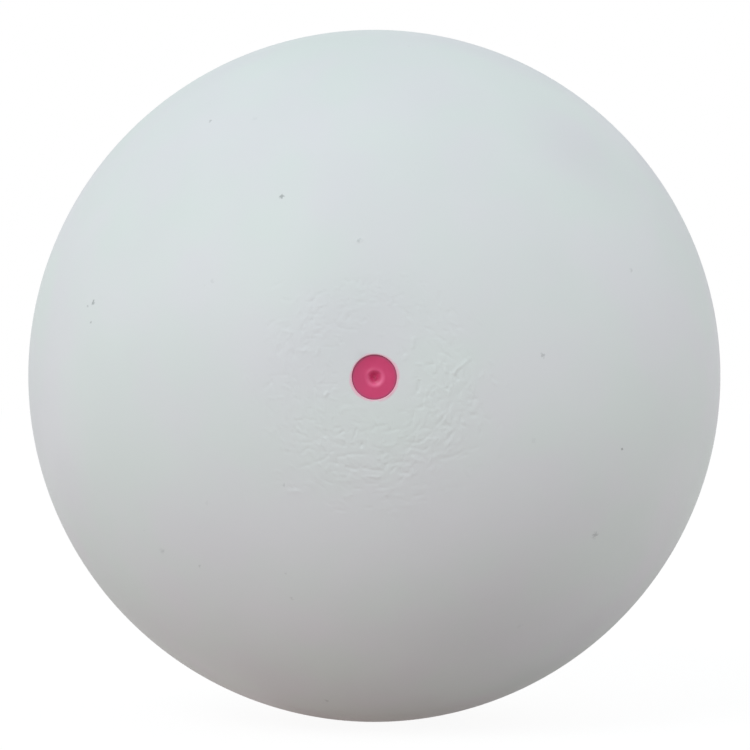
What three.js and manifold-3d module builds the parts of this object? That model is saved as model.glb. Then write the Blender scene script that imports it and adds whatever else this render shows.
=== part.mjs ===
// Soft tennis ball: a hollow ball of soft white rubber that is pumped up through a needle valve.
// Two half shells are cemented edge to edge. Inside the front half a rubber seat is bonded behind a small
// round hole. A coloured plug with a slit for the needle is pushed into the hole and the seat, and holds a puck
// of self-sealing gum behind it. Everything is turned about the valve's axis.
// Units are millimetres and +Z is up. The origin is the ball's centre, and the valve looks along -Y.

import * as THREE from "three";
import { mergeVertices } from "three/addons/utils/BufferGeometryUtils.js";
import Module from "manifold-3d";

// Ball
const BALL_DIAMETER = 66;
const WALL = 2.2;
// Bead of cement and rubber that the joint squeezes out along the inside
const SEAM_BEAD_HEIGHT = 0.5;
const SEAM_BEAD_HALF_WIDTH = 1.6;
// Glue line between the seat and the wall, and running clearance of the plug and the gum in their holes
const CEMENT_LINE = 0.15;
const PLUG_FIT = 0.1;

// Plug, from its face inwards
const FACE_DIAMETER = 3.83;
const FACE_RECESS = 0.36;
const FACE_EDGE_RADIUS = 0.1;
const HOLE_LIP_RADIUS = 0.15;
const NECK_DIAMETER = 2.8;
const NECK_LENGTH = 1;
const BARB_DIAMETER = 4.4;
const BARB_LENGTH = 3.2;
const NOSE_DIAMETER = 3.4;
const NOSE_EDGE_RADIUS = 0.5;

// Needle's way through the plug: a raised lip, a dished mouth, and a slit that the rubber squeezes shut
const LIP_DIAMETER = 1.38;
const LIP_WIDTH = 0.46;
const LIP_HEIGHT = 0.1;
const MOUTH_DEPTH = 0.4;
const MOUTH_END_DIAMETER = 0.4;
const SLIT_WIDTH = 1.25;
const SLIT_OPENING = 0.16;

// Puck of self-sealing gum between the plug's nose and the seat's floor
const GUM_THICKNESS = 1.2;
const GUM_EDGE_RADIUS = 0.3;

// Seat
const FLANGE_DIAMETER = 20;
const FLANGE_EDGE_THICKNESS = 0.5;
const FLANGE_ROOT_THICKNESS = 1.3;
const SEAT_SIDE_WALL = 1.9;
const SEAT_FLOOR = 1;
const SEAT_DRAFT = 0.35;
const SEAT_FILLET = 1.8;
const SEAT_END_RADIUS = 0.8;
const VENT_DIAMETER = 1;
const VENT_EDGE_RADIUS = 0.15;

// Facets
const SHELL_SEGMENTS = 60;
const VALVE_SEGMENTS = 36;
const OUTER_ARC_STEPS = 16;
const INNER_ARC_STEPS = 16;
const SEAT_ARC_STEPS = 5;
const BEAD_STEPS = 4;
const LIP_STEPS = 4;
const SLIT_STEPS = 4;
const CORNER_STEPS = 3;
// Vertices closer than this are one vertex
const MERGE_DISTANCE = 1e-4;

const ballRadius = BALL_DIAMETER / 2;
const innerRadius = ballRadius - WALL;
const bondRadius = innerRadius - CEMENT_LINE;
const faceRadius = FACE_DIAMETER / 2;
const holeRadius = faceRadius + PLUG_FIT;
const neckRadius = NECK_DIAMETER / 2;
const barbRadius = BARB_DIAMETER / 2;
const noseRadius = NOSE_DIAMETER / 2;
const ventRadius = VENT_DIAMETER / 2;

// Height, along the valve's axis, of a point at that radius on a sphere round the ball's centre, valve side.
const capY = (sphereRadius, radius) => -Math.sqrt(sphereRadius ** 2 - radius ** 2);

// Every level of the valve, from the face inwards: the plug's levels are stacked on the seat's flat top.
const faceY = -(ballRadius - FACE_RECESS);
const seatTopRadius = holeRadius + HOLE_LIP_RADIUS;
const seatTopY = capY(bondRadius, seatTopRadius);
const headBackY = seatTopY - PLUG_FIT;
const barbShoulderY = headBackY + NECK_LENGTH + 2 * PLUG_FIT;
const seatShoulderY = barbShoulderY - PLUG_FIT;
const noseY = barbShoulderY + BARB_LENGTH;
const gumTopY = noseY + PLUG_FIT;
const gumBackY = gumTopY + GUM_THICKNESS;
const seatFloorY = gumBackY + PLUG_FIT;
const seatEndY = seatFloorY + SEAT_FLOOR;

const point = (radius, y, round = 0) => ({ radius, y, round });

// Points of an arc round the ball's centre, between two angles from the valve's axis.
function sphereArc(sphereRadius, fromAngle, toAngle, steps) {
  return Array.from({ length: steps + 1 }, (_, i) => {
    const angle = fromAngle + ((toAngle - fromAngle) * i) / steps;
    return point(sphereRadius * Math.sin(angle), -sphereRadius * Math.cos(angle));
  });
}

// Replaces each corner that has a round with an arc tangent to both its edges, kept to half the shorter edge.
function roundCorners(corners) {
  return corners.flatMap((corner, i) => {
    if (!corner.round) return [corner];
    const before = corners[(i + corners.length - 1) % corners.length];
    const after = corners[(i + 1) % corners.length];
    const here = new THREE.Vector2(corner.radius, corner.y);
    const back = new THREE.Vector2(before.radius, before.y).sub(here);
    const ahead = new THREE.Vector2(after.radius, after.y).sub(here);
    const halfAngle = Math.acos(back.dot(ahead) / (back.length() * ahead.length())) / 2;
    const reach = Math.min(corner.round / Math.tan(halfAngle), back.length() / 2, ahead.length() / 2);
    const start = here.clone().add(back.setLength(reach));
    const end = here.clone().add(ahead.setLength(reach));
    const curve = new THREE.EllipseCurve(...arcBetween(here, start, end, reach * Math.tan(halfAngle)));
    return curve.getPoints(CORNER_STEPS).map((p) => point(p.x, p.y));
  });
}

// Arguments of the circle arc of that radius from start to end, which rounds the corner.
function arcBetween(corner, start, end, radius) {
  const middle = start.clone().add(end).divideScalar(2);
  const outward = corner.clone().sub(middle).normalize();
  const halfChord = start.distanceTo(end) / 2;
  const centre = middle.clone().addScaledVector(outward, -Math.sqrt(Math.max(radius ** 2 - halfChord ** 2, 0)));
  const from = start.clone().sub(centre).angle();
  const to = end.clone().sub(centre).angle();
  const clockwise = start.clone().sub(centre).cross(end.clone().sub(centre)) < 0;
  return [centre.x, centre.y, radius, radius, from, to, clockwise];
}

// Turns an outline about the valve's axis. An outline that doesn't end on the axis closes on itself.
function turn(outline, segments) {
  const onAxis = outline[0].radius === 0 && outline.at(-1).radius === 0;
  const loop = onAxis ? [...outline] : [...outline, outline[0]];
  const doubleArea = loop.reduce((sum, p, i) => {
    const next = loop[(i + 1) % loop.length];
    return sum + p.radius * next.y - next.radius * p.y;
  }, 0);
  if (doubleArea < 0) loop.reverse();
  return new THREE.LatheGeometry(loop.map((p) => new THREE.Vector2(p.radius, p.y)), segments);
}

// Half of the bead along the inside of the joint: a smooth bump that is highest on the joint's plane.
function beadPoints(side) {
  return Array.from({ length: BEAD_STEPS + 1 }, (_, i) => {
    const y = (SEAM_BEAD_HALF_WIDTH * i) / BEAD_STEPS;
    const bump = (SEAM_BEAD_HEIGHT * (1 + Math.cos((Math.PI * y) / SEAM_BEAD_HALF_WIDTH))) / 2;
    return point(Math.sqrt(innerRadius ** 2 - y ** 2) - bump, side * y);
  });
}

// Front half: the wall from the joint to the valve's hole, whose outer edge is rolled over.
function frontShell() {
  const lipCentreRadius = holeRadius + HOLE_LIP_RADIUS;
  const lipCentreY = capY(ballRadius - HOLE_LIP_RADIUS, lipCentreRadius);
  const lipAngle = Math.asin(lipCentreRadius / (ballRadius - HOLE_LIP_RADIUS));
  const lip = new THREE.EllipseCurve(
    lipCentreRadius, lipCentreY, HOLE_LIP_RADIUS, HOLE_LIP_RADIUS, Math.PI, 1.5 * Math.PI + lipAngle,
  );
  const outer = sphereArc(ballRadius, lipAngle, Math.PI / 2, OUTER_ARC_STEPS);
  const beadAngle = Math.acos(SEAM_BEAD_HALF_WIDTH / innerRadius);
  const holeAngle = Math.asin(holeRadius / innerRadius);
  const inner = sphereArc(innerRadius, beadAngle, holeAngle, INNER_ARC_STEPS);
  const edge = lip.getPoints(CORNER_STEPS).slice(0, -1).map((p) => point(p.x, p.y));
  return turn([...edge, ...outer, ...beadPoints(-1), ...inner.slice(1)], SHELL_SEGMENTS);
}

// Back half: the same wall, closed over the pole opposite the valve.
function backShell() {
  const outer = sphereArc(ballRadius, Math.PI / 2, Math.PI, OUTER_ARC_STEPS);
  const beadAngle = Math.PI - Math.acos(SEAM_BEAD_HALF_WIDTH / innerRadius);
  const inner = sphereArc(innerRadius, Math.PI, beadAngle, INNER_ARC_STEPS);
  outer.at(-1).radius = 0;
  inner[0].radius = 0;
  const wall = [...inner, ...beadPoints(1).reverse().slice(1), ...outer];
  return turn(wall, SHELL_SEGMENTS);
}

// Seat: a flange bonded to the inside of the wall, which swells into a boss with a chamber for the barb.
function seat() {
  const flangeRadius = FLANGE_DIAMETER / 2;
  const flangeEdgeY = capY(bondRadius, flangeRadius);
  const bossRootRadius = barbRadius + PLUG_FIT + SEAT_SIDE_WALL;
  const bossRootY = capY(bondRadius, bossRootRadius) + FLANGE_ROOT_THICKNESS;
  const flat = Math.asin(seatTopRadius / bondRadius);
  const rim = Math.asin(flangeRadius / bondRadius);
  const bonded = sphereArc(bondRadius, flat, rim, SEAT_ARC_STEPS);
  const boreRadius = neckRadius + PLUG_FIT;
  const back = [
    point(flangeRadius, flangeEdgeY + FLANGE_EDGE_THICKNESS, FLANGE_EDGE_THICKNESS / 2),
    point(bossRootRadius, bossRootY, SEAT_FILLET),
    point(bossRootRadius - SEAT_DRAFT, seatEndY, SEAT_END_RADIUS),
    point(ventRadius, seatEndY, VENT_EDGE_RADIUS),
    point(ventRadius, seatFloorY),
    point(noseRadius + PLUG_FIT, seatFloorY),
    point(noseRadius + PLUG_FIT, noseY),
    point(barbRadius + PLUG_FIT, seatShoulderY),
    point(boreRadius, seatShoulderY),
    point(boreRadius, seatTopY),
  ];
  return turn(roundCorners([...bonded, ...back]), VALVE_SEGMENTS);
}

// Lip round the needle's mouth: half an ellipse that stands on the plug's face.
function mouthLip() {
  return Array.from({ length: LIP_STEPS + 1 }, (_, i) => {
    const angle = Math.PI * (1 - i / LIP_STEPS);
    const radius = (LIP_DIAMETER + LIP_WIDTH * Math.cos(angle)) / 2;
    return point(radius, faceY - LIP_HEIGHT * Math.sin(angle));
  });
}

// Plug: a head that fills the hole, a neck, and a barb that locks under the seat's shoulder.
function plug() {
  const mouthEndRadius = MOUTH_END_DIAMETER / 2;
  const mouthEndY = faceY + MOUTH_DEPTH;
  const outline = [
    point(0, mouthEndY),
    point(mouthEndRadius, mouthEndY, mouthEndRadius),
    ...mouthLip(),
    point(faceRadius, faceY, FACE_EDGE_RADIUS),
    point(faceRadius, headBackY),
    point(neckRadius, headBackY),
    point(neckRadius, barbShoulderY),
    point(barbRadius, barbShoulderY),
    point(noseRadius, noseY, NOSE_EDGE_RADIUS),
    point(0, noseY),
  ];
  return slitThrough(turn(roundCorners(outline), VALVE_SEGMENTS), mouthEndY - MOUTH_DEPTH / 2, noseY);
}

// Gum puck: a plain disc with rounded edges, pressed between the nose and the seat's floor.
function gum() {
  const outline = [
    point(0, gumTopY),
    point(noseRadius, gumTopY, GUM_EDGE_RADIUS),
    point(noseRadius, gumBackY, GUM_EDGE_RADIUS),
    point(0, gumBackY),
  ];
  return turn(roundCorners(outline), VALVE_SEGMENTS);
}

const wasm = await Module();
wasm.setup();

function solidOf(geometry) {
  const bare = new THREE.BufferGeometry().setAttribute("position", geometry.getAttribute("position"));
  const merged = mergeVertices(bare.setIndex(geometry.index), MERGE_DISTANCE);
  return new wasm.Manifold(
    new wasm.Mesh({
      numProp: 3,
      vertProperties: merged.getAttribute("position").array,
      triVerts: new Uint32Array(merged.index.array),
    }),
  );
}

function geometryOf(solid) {
  const mesh = solid.getMesh();
  const geometry = new THREE.BufferGeometry();
  geometry.setAttribute("position", new THREE.BufferAttribute(mesh.vertProperties, mesh.numProp));
  geometry.setIndex(new THREE.BufferAttribute(mesh.triVerts, 1));
  geometry.computeVertexNormals();
  return geometry;
}

// Cuts the needle slit, a lens that is pointed at both ends, from one level to just past another.
function slitThrough(body, fromY, toY) {
  const lens = new THREE.Shape();
  lens.moveTo(-SLIT_WIDTH / 2, 0);
  lens.quadraticCurveTo(0, SLIT_OPENING, SLIT_WIDTH / 2, 0);
  lens.quadraticCurveTo(0, -SLIT_OPENING, -SLIT_WIDTH / 2, 0);
  const depth = toY - fromY + SLIT_OPENING;
  const blade = new THREE.ExtrudeGeometry(lens, { depth, bevelEnabled: false, curveSegments: SLIT_STEPS });
  blade.rotateX(-Math.PI / 2).translate(0, fromY, 0);
  return geometryOf(solidOf(body).subtract(solidOf(blade)));
}

const whiteRubber = { color: 0xe2e8e8, roughness: 0.55, metalness: 0 };
const creamRubber = { color: 0xe9e2cf, roughness: 0.7, metalness: 0 };
const pinkRubber = { color: 0xcf4a77, roughness: 0.5, metalness: 0 };
const gumRubber = { color: 0xd9a45f, roughness: 0.35, metalness: 0 };

function piece(name, geometry, look) {
  const mesh = new THREE.Mesh(geometry, new THREE.MeshStandardMaterial(look));
  mesh.name = name;
  return mesh;
}

const shell = new THREE.Group();
shell.add(piece("shell_front_half", frontShell(), whiteRubber));
shell.add(piece("shell_back_half", backShell(), whiteRubber));

const valve = new THREE.Group();
valve.add(piece("valve_seat", seat(), creamRubber));
valve.add(piece("valve_plug", plug(), pinkRubber));
valve.add(piece("sealing_gum", gum(), gumRubber));

const ball = new THREE.Group();
ball.add(shell, valve);

export default ball;
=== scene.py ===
# Soft tennis ball: a hollow ball of soft white rubber, pumped up through a small pink needle valve.
# It is seen from nearly level with its middle, with the valve facing the camera.
# Lengths are metres in the frame's own axes: the valve faces -Y, +X is to its right and +Z is up.

import math

import bpy
import numpy as np
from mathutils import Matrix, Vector


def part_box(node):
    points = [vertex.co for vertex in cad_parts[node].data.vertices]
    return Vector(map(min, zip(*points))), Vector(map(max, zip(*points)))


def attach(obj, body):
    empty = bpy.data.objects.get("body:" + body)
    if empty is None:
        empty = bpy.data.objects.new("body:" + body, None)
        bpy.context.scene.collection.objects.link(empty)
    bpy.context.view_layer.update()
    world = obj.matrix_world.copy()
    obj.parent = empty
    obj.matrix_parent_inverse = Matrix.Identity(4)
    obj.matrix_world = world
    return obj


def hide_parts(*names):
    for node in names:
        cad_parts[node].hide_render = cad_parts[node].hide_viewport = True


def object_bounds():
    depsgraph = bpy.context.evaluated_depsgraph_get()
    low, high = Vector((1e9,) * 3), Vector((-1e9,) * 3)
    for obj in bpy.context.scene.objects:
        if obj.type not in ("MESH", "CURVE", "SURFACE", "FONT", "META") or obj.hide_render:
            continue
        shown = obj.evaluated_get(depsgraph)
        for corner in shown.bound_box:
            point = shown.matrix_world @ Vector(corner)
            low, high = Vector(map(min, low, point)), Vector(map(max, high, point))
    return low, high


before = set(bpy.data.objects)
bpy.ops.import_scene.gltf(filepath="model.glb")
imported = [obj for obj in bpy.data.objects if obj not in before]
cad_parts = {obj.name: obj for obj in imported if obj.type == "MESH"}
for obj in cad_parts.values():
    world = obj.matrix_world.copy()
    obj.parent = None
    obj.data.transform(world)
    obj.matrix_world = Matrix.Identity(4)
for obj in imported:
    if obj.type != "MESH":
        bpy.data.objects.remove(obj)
cad_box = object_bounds()

mm = 0.001

# Front half of the shell. One of two half balls moulded from soft white rubber. The edge of its round hole is
# rolled over, and the flange bonded behind the wall has drawn the skin into a ring of fine creases.

BALL_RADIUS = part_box("shell_back_half")[1].y
WALL = 2.2 * mm
HOLE_RADIUS = 1.92 * mm
LIP_ROUND = 0.10 * mm
BEAD_HEIGHT = 0.5 * mm
BEAD_HALF_WIDTH = 1.6 * mm
JOINT_ROUND = 0.05 * mm
JOINT_HOLLOW = 0.02 * mm
JOINT_HOLLOW_HALF_WIDTH = 0.7 * mm

# Fineness of the mesh: points round the ball, and steps along each stretch of the outline
FRONT_SEGMENTS = 480
LIP_STEPS = 8
JOINT_EDGE_STEPS = 3
BEAD_STEPS = 8
INNER_STEPS = 18
# Edges that turn by more than this stay crisp, and points closer than this at a pole become one
CRISP_ANGLE = math.radians(60)
POLE_WELD = 0.0005 * mm
# Distance along the skin from the valve's axis to each change in the mesh's rows, and how far apart the rows
# lie up to there
SKIN_ROWS = [(3.6 * mm, 0.2 * mm), (12.6 * mm, 0.1 * mm), (16 * mm, 0.2 * mm), (51.6 * mm, 0.9 * mm)]

# Creases, each with its depth as a share of the full one, below zero for a groove and above for a swelling,
# and its route in millimetres to the right of the valve's axis and above it
CREASES = [
    (-1.9, (3.8, -0.2), (3.75, -1.35)),
    (0.6, (4.2, -1.4), (4.65, -1.15), (5.05, -1.45)),
    (-0.5, (3.4, -2.6), (4.9, -2.6)),
    (-0.5, (7.1, -2.15), (7.6, -2.2)),
    (-0.5, (7.6, -2.5), (8.3, -2.5)),
    (-0.8, (8.55, -1.7), (8.9, -2.0)),
    (-0.5, (7.0, -3.0), (7.7, -2.95)),
    (-0.6, (8.1, -3.2), (8.9, -3.2)),
    (-1.0, (7.45, -3.2), (7.4, -4.0), (8.0, -4.3)),
    (-0.6, (9.3, -3.4), (10.0, -3.7)),
    (-1.0, (6.7, -2.0), (6.2, -3.0), (5.7, -3.75), (4.9, -4.6)),
    (-0.9, (2.5, -5.55), (3.8, -5.6), (4.5, -5.1), (5.0, -4.7)),
    (-0.8, (2.5, -6.05), (3.7, -6.1), (4.3, -6.3), (4.8, -5.8)),
    (-0.6, (3.0, -6.6), (3.9, -6.65)),
    (-0.9, (5.8, -4.2), (6.5, -4.2), (6.75, -4.7), (6.4, -5.15), (5.8, -5.7)),
    (0.6, (7.3, -4.3), (7.55, -5.2), (6.9, -5.75)),
    (0.5, (6.6, -5.4), (6.1, -6.1)),
    (-0.8, (5.4, -7.1), (6.2, -6.95), (6.9, -6.75), (7.7, -6.3)),
    (0.6, (5.0, -7.0), (5.6, -6.6), (6.4, -6.6)),
    (-1.0, (1.8, -7.3), (3.0, -7.25)),
    (-1.4, (1.0, -7.4), (0.95, -7.9)),
    (-1.2, (1.3, -8.2), (1.85, -7.65)),
    (-1.1, (2.3, -7.7), (2.3, -8.15), (3.1, -8.25)),
    (0.6, (2.0, -8.6), (3.1, -8.5), (3.2, -7.8)),
    (-1.2, (-1.1, -7.75), (-0.2, -7.95), (0.9, -8.05)),
    (0.7, (-1.0, -8.5), (0.5, -8.6)),
    (-0.5, (-0.9, -9.15), (0.5, -9.15)),
    (-0.5, (-1.9, -9.55), (-1.0, -9.6)),
    (0.4, (0.3, -9.8), (1.5, -9.6)),
    (0.4, (1.6, -10.2), (2.5, -10.2)),
    (-0.6, (1.2, -11.7), (1.9, -11.1)),
    (-0.5, (3.8, -10.65), (4.5, -10.65)),
    (-0.6, (5.65, -9.75), (6.05, -10.05)),
    (-0.5, (0.9, -3.1), (0.2, -3.7)),
    (-0.4, (-0.1, -4.2), (1.0, -4.2)),
    (-0.5, (0.0, -6.1), (0.5, -6.1)),
    (-0.6, (0.7, -5.1), (0.7, -5.9)),
    (0.6, (1.95, -4.5), (1.95, -5.8)),
    (-0.8, (0.65, -6.3), (0.6, -7.3)),
    (-1.0, (-3.45, -6.2), (-4.0, -6.7), (-4.3, -7.05), (-5.3, -7.35)),
    (0.6, (-3.6, -7.1), (-4.1, -8.0)),
    (-0.9, (-3.4, -6.85), (-2.6, -6.75), (-2.0, -6.6), (-0.4, -6.6)),
    (-1.0, (-3.3, -6.95), (-3.2, -7.6)),
    (-0.6, (-2.9, -7.2), (-2.4, -7.7), (-1.5, -8.0)),
    (0.5, (-3.0, -8.4), (-2.4, -8.4)),
    (0.4, (-3.3, -8.9), (-1.9, -8.9)),
    (-0.7, (-3.5, -4.35), (-2.85, -4.35)),
    (-1.0, (-3.0, -4.9), (-2.55, -4.55)),
    (-0.4, (-3.6, -5.0), (-3.0, -4.95)),
    (-0.9, (-4.2, -4.5), (-4.2, -5.2)),
    (-1.1, (-1.5, -4.3), (-1.8, -5.4)),
    (-0.5, (-4.8, -5.25), (-3.8, -5.6)),
    (-0.5, (-3.8, -5.75), (-3.1, -5.8)),
    (-0.9, (-2.5, -5.3), (-2.5, -6.0)),
    (-0.6, (-2.0, -5.7), (-1.6, -5.95)),
    (-1.0, (-1.2, -6.05), (-1.0, -5.65)),
    (-1.0, (-6.85, -3.7), (-6.1, -3.7)),
    (-0.5, (-5.2, -4.0), (-4.4, -4.1)),
    (-0.6, (-7.0, -4.2), (-6.5, -4.8), (-5.7, -5.1)),
    (-0.7, (-6.3, -5.6), (-5.1, -5.6)),
    (-0.5, (-6.1, -6.3), (-5.6, -6.1), (-5.1, -6.35)),
    (1.6, (-4.3, -1.65), (-3.9, -1.2)),
    (-0.4, (-4.9, -0.6), (-3.1, -0.55)),
    (0.5, (-3.7, -1.1), (-3.0, -1.1)),
    (0.5, (-3.0, -3.1), (-2.4, -2.65), (-0.4, -2.65)),
    (0.8, (-7.5, -9.85), (-6.3, -9.85)),
    (-0.5, (-7.5, -9.5), (-6.6, -9.5)),
    (-0.4, (-4.1, -11.6), (-3.5, -11.6)),
    (-0.4, (-0.7, -11.25), (-0.1, -11.25)),
    (-0.5, (-9.0, 0.1), (-7.2, 0.2)),
    (-0.5, (-3.6, 0.3), (-3.2, 0.3)),
    (0.6, (-6.8, 2.3), (-5.1, 2.2)),
    (-0.35, (-4.7, 2.55), (-3.1, 2.6)),
    (-0.6, (-5.9, 3.3), (-4.9, 3.35)),
    (-0.5, (-3.0, 2.95), (-2.5, 3.05)),
    (-0.6, (-3.5, 5.0), (-3.15, 4.35), (-2.4, 4.1), (-1.3, 4.05)),
    (-0.8, (-5.7, 5.4), (-4.4, 5.4)),
    (-0.7, (-5.7, 4.85), (-5.1, 4.85)),
    (-0.7, (-5.1, 4.4), (-4.5, 4.4)),
    (-0.9, (-6.45, 5.5), (-6.15, 5.05)),
    (-0.9, (-5.25, 5.9), (-5.15, 6.8), (-4.5, 7.3)),
    (0.6, (-3.0, 6.7), (-2.0, 6.75)),
    (-0.6, (-1.3, 7.1), (-0.8, 7.25)),
    (-0.7, (-1.5, 6.45), (-0.7, 6.4)),
    (-0.7, (-1.5, 7.8), (-1.3, 8.6)),
    (-0.9, (-0.75, 7.8), (-0.75, 8.4)),
    (1.3, (-1.55, 11.6), (-1.0, 11.9)),
    (0.6, (0.4, 9.0), (0.4, 7.6)),
    (-0.4, (0.1, 6.4), (1.1, 6.45)),
    (-0.5, (2.6, 7.15), (1.7, 6.85)),
    (-0.7, (1.75, 6.7), (1.7, 6.2)),
    (-0.35, (3.2, 6.8), (3.7, 6.75)),
    (-1.0, (5.6, 7.4), (5.6, 6.2)),
    (-0.8, (5.7, 5.9), (5.8, 4.9)),
    (1.1, (3.3, 2.4), (3.35, 3.4)),
    (0.9, (2.6, 1.4), (2.6, 1.9)),
    (-0.9, (6.85, 3.4), (6.8, 2.6), (7.05, 2.0)),
    (0.9, (5.65, 1.1), (5.65, 2.0)),
    (-0.9, (4.65, 0.3), (4.6, 1.3)),
    (0.9, (5.15, 0.3), (5.3, 1.0)),
    (-0.5, (5.25, 0.85), (5.65, 0.75)),
    (1.1, (6.15, 0.3), (6.0, 1.2)),
    (-0.9, (6.5, 0.4), (6.4, 1.0)),
    (1.5, (8.3, 1.7), (7.5, 1.0), (6.7, 0.2)),
    (-1.2, (7.4, 0.8), (7.0, 0.2), (7.2, -0.3)),
    (0.6, (7.3, -0.45), (8.0, -0.4), (8.35, -0.85)),
]
# Patches of fainter creases between them: direction from the valve (0 is right, 90 is up), distance from its
# axis, spread round the ring in degrees and across it, number of creases, and share of the full depth
CREASE_PATCHES = [
    (270, 8.0 * mm, 40, 1.7 * mm, 220, 0.7),
    (290, 11.0 * mm, 30, 1.2 * mm, 80, 0.35),
    (350, 6.8 * mm, 26, 2.0 * mm, 160, 0.85),
    (310, 5.4 * mm, 50, 1.2 * mm, 80, 0.6),
    (145, 7.2 * mm, 20, 1.4 * mm, 80, 0.85),
    (85, 7.3 * mm, 30, 1.5 * mm, 70, 0.6),
    (40, 6.0 * mm, 25, 2.0 * mm, 50, 0.4),
    (200, 6.6 * mm, 24, 2.4 * mm, 100, 0.7),
]
CREASE_DEPTH = 0.038 * mm
GROOVE_HALF_WIDTH = 0.078 * mm
SWELLING_HALF_WIDTH = 0.11 * mm
# A crease reaches this many half widths from its route, and the powers say how late its ends die out
CREASE_REACH = 4
CREASE_END_POWER = 8
FAINT_END_POWER = 4
ROUTE_STEPS = 5
CREASE_SEED = 66
# Faint creases are drawn at random from these ranges and spreads, the tilt in degrees
FAINT_LENGTH = (0.4 * mm, 1.2 * mm)
FAINT_HALF_WIDTH = (0.06 * mm, 0.10 * mm)
FAINT_STRENGTH = (0.3, 1)
FAINT_BEND = 0.35 / mm
FAINT_TILT = 35


def arc(radius, start, end, steps):
    """Outline points (radius, height) on a sphere round the ball's centre, between angles from the valve."""
    angles = np.linspace(start, end, steps + 1)
    return [(radius * math.sin(a), -radius * math.cos(a)) for a in angles]


def turned(outline, segments):
    """Rows of points: each point of the outline is turned about the valve's axis into a ring."""
    angles = np.linspace(0, 2 * np.pi, segments, endpoint=False)
    radius, height = np.asarray(outline, float).T[:, :, None]
    return np.stack([radius * np.cos(angles), height + 0 * angles, radius * np.sin(angles)], axis=2)


def skin(name, rows, looped=True):
    """A closed smooth mesh through rows of points. Looped rows join end to start, others end in points."""
    count, segments = rows.shape[:2]
    here = np.arange(count * segments).reshape(count, segments)
    beside = np.roll(here, -1, axis=1)
    quads = np.stack([here[:-1], beside[:-1], beside[1:], here[1:]], axis=2).reshape(-1, 4)
    if looped:
        quads = np.vstack([quads, np.stack([here[-1], beside[-1], beside[0], here[0]], axis=1)])
    points = rows.reshape(-1, 3)
    corners = points[quads]
    # The faces point out where the volume inside them comes out above zero
    volume = np.einsum("ij,ij->i", corners[:, 0], np.cross(corners[:, 1], corners[:, 2])).sum()
    volume += np.einsum("ij,ij->i", corners[:, 0], np.cross(corners[:, 2], corners[:, 3])).sum()
    if volume < 0:
        quads = quads[:, ::-1]
    mesh = bpy.data.meshes.new(name)
    mesh.from_pydata(points.tolist(), [], quads.tolist())
    piece = bpy.data.objects.new(name, mesh)
    bpy.context.scene.collection.objects.link(piece)
    if not looped:
        weld = piece.modifiers.new("poles", "WELD")
        weld.merge_threshold = POLE_WELD
        bpy.context.view_layer.objects.active = piece
        piece.select_set(True)
        bpy.ops.object.modifier_apply(modifier="poles")
        piece.select_set(False)
    piece.data.shade_smooth()
    piece.data.set_sharp_from_angle(angle=CRISP_ANGLE)
    return piece


def bead(side):
    """Half of the bead that the joint squeezes out inside the ball, from the joint inwards."""
    heights = np.linspace(0, BEAD_HALF_WIDTH, BEAD_STEPS + 1)
    bumps = BEAD_HEIGHT * (1 + np.cos(np.pi * heights / BEAD_HALF_WIDTH)) / 2
    inner = np.sqrt((BALL_RADIUS - WALL) ** 2 - heights**2) - bumps
    return [(r, side * h) for r, h in zip(inner, heights)]


def joint_edge(side):
    """Outer edge of a half shell where it meets the other one: a tiny round that leaves a hairline."""
    angles = np.linspace(0, np.pi / 2, JOINT_EDGE_STEPS + 1)
    reach = JOINT_ROUND
    return [
        (BALL_RADIUS - reach + reach * math.cos(a), side * (reach - reach * math.sin(a)))
        for a in angles
    ]


def hollowed(rows):
    """Rows of the outer skin, drawn in a little beside the joint where it was buffed."""
    nearness = np.exp(-((rows[:, :, 1] / JOINT_HOLLOW_HALF_WIDTH) ** 2))
    return rows * (1 - nearness * JOINT_HOLLOW / BALL_RADIUS)[:, :, None]


def smoothed(rows, steps):
    """Rows along a Catmull-Rom curve through the given rows."""
    rows = np.asarray(rows, float)
    padded = np.vstack([2 * rows[0] - rows[1], rows, 2 * rows[-1] - rows[-2]])
    curve = []
    for a, b, c, d in zip(padded, padded[1:], padded[2:], padded[3:]):
        for t in np.arange(steps) / steps:
            curve.append(0.5 * (2 * b + (c - a) * t + (2 * a - 5 * b + 4 * c - d) * t**2
                                + (3 * b - a - 3 * c + d) * t**3))
    return np.vstack([curve, rows[-1]])


def drawn_crease(place, route, half_width):
    """Height, from 0 to 1, of a soft ridge along a route, which dies out at both ends."""
    curve = smoothed(route, ROUTE_STEPS)
    nearest = np.full(len(place), np.inf)
    along = np.zeros(len(place))
    for index, (start, end) in enumerate(zip(curve, curve[1:])):
        step = end - start
        share = np.clip((place - start) @ step / (step @ step), 0, 1)
        apart = np.linalg.norm(place - start - share[:, None] * step, axis=1)
        closer = apart < nearest
        nearest = np.where(closer, apart, nearest)
        along = np.where(closer, (index + share) / (len(curve) - 1), along)
    return np.exp(-((nearest / half_width) ** 2) / 2) * (1 - (2 * along - 1) ** CREASE_END_POWER)


def faint_crease(place, centre, tilt, length, half_width, bend):
    """Height, from 0 to 1, of a short bent ridge at a place."""
    right, up = (place - centre).T
    along = right * math.cos(tilt) + up * math.sin(tilt)
    across = up * math.cos(tilt) - right * math.sin(tilt) - bend * along**2
    return np.exp(-((across / half_width) ** 2) / 2 - (2 * along / length) ** FAINT_END_POWER)


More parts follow.
